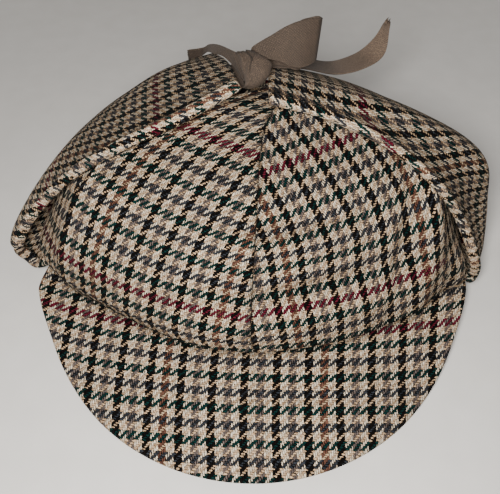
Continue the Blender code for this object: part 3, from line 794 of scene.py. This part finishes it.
def build_knot(name, rings, sides):
    """The bow's knot: a smooth facet at the right laps over narrow pleats at the left."""
    climb = np.linspace(0.0, 1.0, rings + 1)
    row = smooth(KNOT, climb)
    across = np.array([1.0, 0.0, 0.0])
    depth = unit(np.cross(row[-1, 1:4] - row[0, 1:4], across))
    angle = np.arange(sides) * 2 * math.pi / sides
    turn = np.degrees(angle)
    upper = ease(climb, *KNOT_UPPER_SPAN)[:, None]
    low, high = KNOT_LAP
    past = turn - (low + (high - low) * ease(climb, *KNOT_LAP_SPAN)[:, None])
    beyond = np.abs(past)
    lap = np.where(past > 0.0, np.exp(-beyond / LAP_REACH), -np.exp(-beyond / UNDER_REACH))
    pleated = (turn > PLEAT_FROM) & (past < 0.0)
    pleats = np.where(pleated, np.sin(np.radians(-past * PLEATS)), 0.0)
    stand = (LAP_STAND * lap + PLEAT_DEPTH * pleats) * upper
    wide = row[:, 4:5] + stand
    deep = row[:, 5:6] + stand
    points = (row[:, None, 1:4] + across * (wide * np.cos(angle))[..., None]
              + depth * (deep * np.sin(angle))[..., None]).reshape(-1, 3)
    grid = np.arange((rings + 1) * sides).reshape(rings + 1, sides)
    ahead = np.roll(grid, -1, axis=1)
    quads = np.stack([grid[:-1], ahead[:-1], ahead[1:], grid[1:]], -1).reshape(-1, 4)
    faces = np.concatenate([quads[:, :3], quads[:, [0, 2, 3]]])
    foot, head = len(points), len(points) + 1
    points = np.concatenate([points, row[:1, 1:4], row[-1:, 1:4]])
    caps = [(foot, ahead[0, s], grid[0, s]) for s in range(sides)]
    caps += [(head, grid[-1, s], ahead[-1, s]) for s in range(sides)]
    round_, up = KNOT_CLOTH
    flat = np.stack([np.tile(angle * round_, rings + 1), np.repeat(climb * up, sides)], -1)
    flat = np.concatenate([flat, np.zeros((2, 2))])
    crease = near(past - KNOT_CREASE, KNOT_CREASE_REACH) * upper
    rim = near(1.0 - climb, KNOT_RIM_REACH)[:, None]
    tone = KNOT_TONE * (1.0 - KNOT_CREASE_SHADE * crease) * (1.0 - KNOT_RIM_SHADE * rim)
    tone = tone * (1.0 - KNOT_SIDE_SHADE * (1.0 - np.cos(angle)))
    tone = np.concatenate([tone.ravel(), [1.0, 1.0]])
    link_mesh(name, points, np.concatenate([faces, caps]), flat, "ribbon", tone)


# ---- materials ----
BUMP_STRENGTH = 0.8


class Tree:
    """Short ways to add nodes to a material and join them."""

    def __init__(self, name):
        self.material = bpy.data.materials.new(name)
        self.material.use_nodes = True
        self.nodes = self.material.node_tree.nodes
        self.links = self.material.node_tree.links
        self.shader = self.nodes["Principled BSDF"]

    def put(self, socket, value):
        if isinstance(value, bpy.types.NodeSocket):
            self.links.new(value, socket)
        elif value is not None:
            socket.default_value = value

    def add(self, kind, **values):
        node = self.nodes.new("ShaderNode" + kind)
        for name, value in values.items():
            self.put(node.inputs[name], value)
        return node.outputs

    def math(self, kind, one, two=None, three=None):
        node = self.nodes.new("ShaderNodeMath")
        node.operation = kind
        for socket, value in zip(node.inputs, (one, two, three)):
            self.put(socket, value)
        return node.outputs[0]

    def look(self, **values):
        """Sets or joins inputs of the shader; their names have _ for a space."""
        for name, value in values.items():
            self.put(self.shader.inputs[name.replace("_", " ")], value)

    def times(self, *values):
        product = values[0]
        for value in values[1:]:
            product = self.math("MULTIPLY", product, value)
        return product

    def mix(self, share, one, two, blend="MIX"):
        node = self.nodes.new("ShaderNodeMix")
        node.data_type = "RGBA"
        node.blend_type = blend
        colours = [socket for socket in node.inputs if socket.type == "RGBA"]
        for socket, value in zip((node.inputs["Factor"], *colours), (share, one, two)):
            self.put(socket, value)
        return [socket for socket in node.outputs if socket.type == "RGBA"][0]

    def noise(self, vector, scale, detail=2.0, rough=0.5):
        noise = self.add("TexNoise", Vector=vector, Scale=scale, Detail=detail, Roughness=rough)
        return noise["Fac"]

    def brightness(self, colour):
        return self.add("RGBToBW", Color=colour)[0]

    def chance(self, number):
        node = self.nodes.new("ShaderNodeTexWhiteNoise")
        node.noise_dimensions = "1D"
        self.put(node.inputs["W"], number)
        return node.outputs["Value"]

    def scaled(self, value, low, high):
        """0 to 1 turned into low to high."""
        return self.math("MULTIPLY_ADD", value, high - low, low)

    def within(self, value, high=1.0):
        """A value held between 0 and high."""
        return self.math("MINIMUM", self.math("MAXIMUM", value, 0.0), high)

    def dimmed(self, colour, value):
        """A colour times a number."""
        return self.mix(1.0, colour, self.grey(value), "MULTIPLY")

    def bands(self, place, colours):
        """A colour for each equal step of place from 0 to 1."""
        node = self.nodes.new("ShaderNodeValToRGB")
        node.color_ramp.interpolation = "CONSTANT"
        ramp = node.color_ramp.elements
        ramp[0].position, ramp[0].color = 0.0, (*colours[0], 1.0)
        ramp.remove(ramp[1])
        for step, colour in enumerate(colours[1:], 1):
            ramp.new(step / len(colours)).color = (*colour, 1.0)
        self.put(node.inputs["Fac"], place)
        return node.outputs["Color"]

    def grey(self, value):
        return self.add("CombineColor", Red=value, Green=value, Blue=value)["Color"]

    def cloth_place(self):
        """Where on its own cloth a point is, across and along."""
        uv = self.nodes.new("ShaderNodeUVMap")
        uv.uv_map = "cloth"
        return self.add("SeparateXYZ", Vector=uv.outputs["UV"])[:2]

    # the painted light and shade stored on each piece
    def tone(self):
        node = self.nodes.new("ShaderNodeAttribute")
        node.attribute_name = "tone"
        return node.outputs["Fac"]

    def here(self):
        return self.nodes.new("ShaderNodeTexCoord").outputs["Object"]

    def bump(self, height, distance):
        bump = self.add("Bump", Strength=BUMP_STRENGTH, Distance=distance, Height=height)
        self.look(Normal=bump["Normal"])


ECRU = (0.53, 0.45, 0.345)      # the light threads of the warp
FAWN = (0.40, 0.28, 0.175)      # and of the weft
BLACK = (0.0035, 0.0022, 0.0018)
TAUPE = (0.10, 0.08, 0.072)
RUST = (0.10, 0.045, 0.03)
GREEN = (0.0015, 0.017, 0.0155)
SLATE = (0.021, 0.024, 0.030)
BURGUNDY = (0.085, 0.006, 0.016)
SPECK = (0.5, 0.38, 0.30)
THREADS = 16            # in a repeat, each way
REPEATS = 5             # from one coloured stripe to the next
TWILL = 4.0             # threads after which the twill's floats come again
WARP_REACH = 0.08       # how far a warp float reaches past its two picks, in threads
WARP_FLOAT = 2.0 + 2.0 * WARP_REACH
WEFT_FLOAT = 2.0

# noises of the wool by scale, detail and roughness
WARP_SWAY, WARP_TREMBLE = (260.0,), (1100.0,)
WEFT_SWAY, WEFT_TREMBLE = (190.0, 3.0), (1300.0,)
FIBRE = (2600.0, 3.0, 0.6)
SPECKS = (900.0, 2.0, 0.6)
CLOUDS = (45.0,)
LUMPS = (1300.0,)
SWAY, TREMBLE = 0.5, 0.6        # how far a thread strays slowly and quickly, in threads
SPECK_EDGE, SPECK_MOST = 5.0, 0.7       # how sharply specks start, and how strong they get

# how a thread stands up: its roundness, that of its float and its height where it dives
THREAD_ROUND, FLOAT_ROUND, DIVE = 0.6, 0.5, 0.35
FUZZ = 0.5              # of the lift, up or down, that the fibres blur a thread's edge by
GAP_DIM = 0.8           # how strongly the thread below dims the gap beside the one above
LIGHT_BELOW = 6.0       # turns the brightness of the thread below into 0 to 1
COVER_FROM = (0.54, 0.36)   # the lift from which a thread covers, over a dark and a light one
COVER_EDGE = 3.5

# shades at the low and at the high end of what they follow
THREAD_SHADE = (0.75, 1.15)
# painted shade where a thread dives under others
LIFT_SHADE = (0.45, 1.15)
FIBRE_SHADE = (0.4, 1.6)
CLOUD_SHADE = (0.85, 1.15)
LUMP_SHADE = (0.55, 1.45)
SHEEN_TINT = (1.0, 0.93, 0.85)

RIBBON_DARK = (0.034, 0.023, 0.0165)
RIBBON_LIGHT = (0.17, 0.12, 0.085)
RIBBON_THREADS = 0.8    # crossings in a millimetre, both ways
RIBBON_DRIFT = 0.4
RIBBON_FLECKS = (1800.0, 3.0, 0.7)
# painted shade where the tape's threads dip
RIBBON_SHADE = (0.55, 1.25)
RIBBON_CLOUD_SHADE = (0.8, 1.2)
PAINTED_LIGHT_FROM = 0.034       # where along X, in metres, painted light starts to brighten the tape toward its free end
PAINTED_LIGHT_OVER = 0.012
# how much brighter the painted light leaves that end
PAINTED_LIGHT_GAIN = 1.7


def tweed_material():
    """A 2 and 2 twill check: ecru, black and taupe threads one way, fawn, green and slate the
    other, with every fifth taupe stripe rust and every fifth slate stripe burgundy."""
    t = Tree("tweed")
    here = t.here()
    u, v = t.cloth_place()

    def threads(place, sway, tremble):
        """A place in the check counted in threads, which stray a little."""
        stray = t.math("ADD", t.scaled(t.noise(here, *sway), -SWAY, SWAY),
                       t.scaled(t.noise(here, *tremble), -TREMBLE, TREMBLE))
        return t.math("ADD", t.times(place, THREADS), stray)

    a, b = threads(u, WARP_SWAY, WARP_TREMBLE), threads(v, WEFT_SWAY, WEFT_TREMBLE)
    i, j = t.math("FLOOR", a), t.math("FLOOR", b)
    fa, fb = t.math("SUBTRACT", a, i), t.math("SUBTRACT", b, j)
    # a warp thread floats over two picks and a little more, then dives under the rest of four
    float_ = t.math("ADD", t.math("SUBTRACT", b, i), WARP_REACH - 1.0)
    float_ = t.math("FLOORED_MODULO", float_, TWILL)
    weft_up = t.math("GREATER_THAN", float_, WARP_FLOAT)

    def stripes(number, ground, dark, light, bright):
        place = t.math("FLOORED_MODULO", number, THREADS * REPEATS)
        place = t.math("DIVIDE", t.math("ADD", place, 0.5), THREADS * REPEATS)
        colours = [ground, dark, ground, bright] + [ground, dark, ground, light] * (REPEATS - 1)
        return t.dimmed(t.bands(place, colours), t.scaled(t.chance(number), *THREAD_SHADE))

    # threads stand up where they float over two others
    warp_run = t.math("DIVIDE", float_, WARP_FLOAT)
    weft_run = t.math("FLOORED_MODULO", t.math("SUBTRACT", a, j), TWILL)
    weft_run = t.math("DIVIDE", weft_run, WEFT_FLOAT)

    def arch(run, cross):
        hump = t.math("SINE", t.times(run, math.pi))
        hump = t.math("POWER", t.math("MAXIMUM", hump, 0.0), FLOAT_ROUND)
        round_ = t.math("SINE", t.times(cross, math.pi))
        round_ = t.math("POWER", round_, THREAD_ROUND)
        return t.times(round_, t.scaled(hump, DIVE, 1.0))

    up_warp, up_weft = arch(warp_run, fa), arch(weft_run, fb)
    change = t.times(weft_up, t.math("SUBTRACT", up_weft, up_warp))
    lift = t.math("ADD", up_warp, change)

    warp = stripes(i, ECRU, BLACK, TAUPE, RUST)
    weft = stripes(j, FAWN, GREEN, SLATE, BURGUNDY)
    over, under = t.mix(weft_up, warp, weft), t.mix(weft_up, weft, warp)
    # between two threads the light comes back dimmed by both
    gap = t.dimmed(over, t.math("POWER", t.brightness(under), GAP_DIM))
    fibre = t.noise(here, *FIBRE)
    light_below = t.math("MINIMUM", t.times(t.brightness(under), LIGHT_BELOW), 1.0)
    fuzz = t.math("ADD", lift, t.scaled(fibre, -FUZZ, FUZZ))
    cover = t.math("SUBTRACT", fuzz, t.scaled(light_below, *COVER_FROM))
    cover = t.within(t.times(cover, COVER_EDGE))
    colour = t.mix(cover, gap, over)

    # darker specks spun into the wool
    speck = t.math("SUBTRACT", t.noise(here, *SPECKS), 0.5)
    speck = t.within(t.times(speck, SPECK_EDGE), SPECK_MOST)
    colour = t.mix(speck, colour, t.mix(1.0, colour, (*SPECK, 1.0), "MULTIPLY"))

    # painted shade where threads dive, random shades of the wool, and each piece's painted light
    # and shade
    shade = t.times(t.scaled(lift, *LIFT_SHADE), t.scaled(fibre, *FIBRE_SHADE),
                    t.scaled(t.noise(here, *CLOUDS), *CLOUD_SHADE),
                    t.scaled(t.noise(here, *LUMPS), *LUMP_SHADE), t.tone())
    t.look(Base_Color=t.dimmed(colour, shade), Roughness=t.scaled(fibre, 0.8, 1.0),
           Specular_IOR_Level=0.06, Sheen_Weight=0.012, Sheen_Roughness=0.45,
           Sheen_Tint=(*SHEEN_TINT, 1.0))
    t.bump(t.math("ADD", lift, t.times(fibre, 0.35)), 0.0004)
    return t.material


def ribbon_material():
    """A dull taupe tape in a fine plain weave set aslant, with glints, and painted light on its
    right end.
    """
    t = Tree("ribbon")
    here = t.here()
    u, v = t.cloth_place()
    drift = t.scaled(t.noise(here, 400.0), -RIBBON_DRIFT, RIBBON_DRIFT)
    one = t.math("ADD", t.times(t.math("ADD", u, v), RIBBON_THREADS), drift)
    two = t.math("ADD", t.times(t.math("SUBTRACT", u, v), RIBBON_THREADS), drift)
    across = t.math("ABSOLUTE", t.math("SINE", t.times(one, math.pi)))
    along = t.math("ABSOLUTE", t.math("SINE", t.times(two, math.pi)))
    height = t.times(across, along)
    fleck = t.noise(here, *RIBBON_FLECKS)
    glint = t.math("MINIMUM", t.times(t.math("POWER", fleck, 3.0), 3.0), 1.0)
    colour = t.mix(glint, (*RIBBON_DARK, 1.0), (*RIBBON_LIGHT, 1.0))
    # painted light, brighter toward the tape's free right end
    fade = t.math("SUBTRACT", t.add("SeparateXYZ", Vector=here)["X"], PAINTED_LIGHT_FROM)
    fade = t.within(t.times(fade, 1.0 / PAINTED_LIGHT_OVER))
    # painted shade between the threads, random clouds, and the painted light and shade of each
    # piece
    shade = t.times(t.scaled(height, *RIBBON_SHADE),
                    t.scaled(t.noise(here, 90.0), *RIBBON_CLOUD_SHADE),
                    t.times(t.scaled(fade, 1.0, PAINTED_LIGHT_GAIN), t.tone()))
    t.look(Base_Color=t.dimmed(colour, shade), Roughness=t.scaled(fleck, 0.55, 0.8),
           Specular_IOR_Level=0.2, Sheen_Weight=0.03)
    t.bump(t.math("ADD", height, t.times(fleck, 0.5)), 0.0002)
    return t.material


# ---- floor, light and camera ----
FLOOR_HALF = 3.0        # metres
FLOOR_DARK = (0.55, 0.53, 0.50)
FLOOR_LIGHT = (0.63, 0.61, 0.58)
WORLD_COLOUR = (0.95, 0.97, 1.0)
WORLD_STRENGTH = 0.05
Lamp = namedtuple("Lamp", "name place target size power colour")
LAMPS = (
    Lamp("key", (-0.03, -0.28, 0.315), (0.0, -0.04, 0.05), 0.1, 3.5, (1.0, 0.98, 0.95)),
    Lamp("soft", (0.1, -0.2, 1.1), (0.0, 0.0, 0.0), 0.9, 0.5, (0.95, 0.97, 1.0)),
    Lamp("back_left", (-0.75, 0.65, 0.4), (0.0, 0.0, 0.06), 0.5, 3.0, (1.0, 0.98, 0.96)),
    Lamp("back_right", (0.75, 0.65, 0.4), (0.0, 0.0, 0.06), 0.5, 3.0, (1.0, 0.98, 0.96)),
)
CAMERA_PLACE = (0.0, -0.25506, 0.29135)
CAMERA_TILT = 43.0      # degrees up from straight down
CAMERA_LENS, CAMERA_SENSOR, CAMERA_NEAR = 46.8, 36.0, 0.01


def floor_material():
    t = Tree("floor")
    grain = t.noise(t.here(), 60.0, 4.0)
    colour = t.mix(grain, (*FLOOR_DARK, 1.0), (*FLOOR_LIGHT, 1.0))
    t.look(Base_Color=colour, Roughness=0.9)
    return t.material


def set_stage():
    """The floor, the studio's own light and the lamps."""
    mesh = bpy.data.meshes.new("floor")
    around = ((-1, -1), (1, -1), (1, 1), (-1, 1))
    corners = [(x * FLOOR_HALF, y * FLOOR_HALF, 0.0) for x, y in around]
    mesh.from_pydata(corners, [], [(0, 1, 2, 3)])
    mesh.materials.append(floor_material())
    link("floor", mesh)

    world = bpy.data.worlds.new("studio")
    bpy.context.scene.world = world
    world.use_nodes = True
    sky = world.node_tree.nodes["Background"].inputs
    sky["Color"].default_value = (*WORLD_COLOUR, 1.0)
    sky["Strength"].default_value = WORLD_STRENGTH

    for lamp in LAMPS:
        light = bpy.data.lights.new(lamp.name, "AREA")
        light.shape, light.size, light.energy, light.color = "DISK", *lamp[3:]
        holder = link(lamp.name, light)
        holder.location = lamp.place
        aim = Vector(lamp.target) - Vector(lamp.place)
        holder.rotation_euler = aim.to_track_quat("-Z", "Y").to_euler()


def set_camera():
    """The camera at the photo's angle."""
    lens = bpy.data.cameras.new("camera")
    lens.lens, lens.sensor_width, lens.clip_start = CAMERA_LENS, CAMERA_SENSOR, CAMERA_NEAR
    camera = link("camera", lens)
    camera.location = CAMERA_PLACE
    camera.rotation_euler = (math.radians(CAMERA_TILT), 0.0, 0.0)
    bpy.context.scene.camera = camera


FINISHES = {"tweed": tweed_material(), "ribbon": ribbon_material()}


def build():
    """Every piece, with its counts of faces one way and the other, then the stage."""
    for name, seam in PANELS.items():
        across, up = (110, 120) if "front" in name else (50, 70)
        build_panel(name, seam, seam + PANEL_SPAN, across, up)
    build_peak("peak_front", FRONT_PEAK, 150, 50)
    build_peak("peak_back", BACK_PEAK, 80, 30)
    build_flap("ear_flap_left", LEFT_FLAP, -1.0, 96, 130)
    build_flap("ear_flap_right", RIGHT_FLAP, 1.0, 96, 130)
    build_knot("ribbon_knot", 40, 180)
    build_loop("ribbon_loop", BOW_LOOP, 90, 24)
    build_tail("ribbon_tail_right", TAIL_RIGHT, 90, 60)
    build_tail("ribbon_tail_left", TAIL_LEFT, 60, 20)
    build_tail("ribbon_tie_left", TIE_LEFT, 20, 20)
    set_stage()
    set_camera()


build()
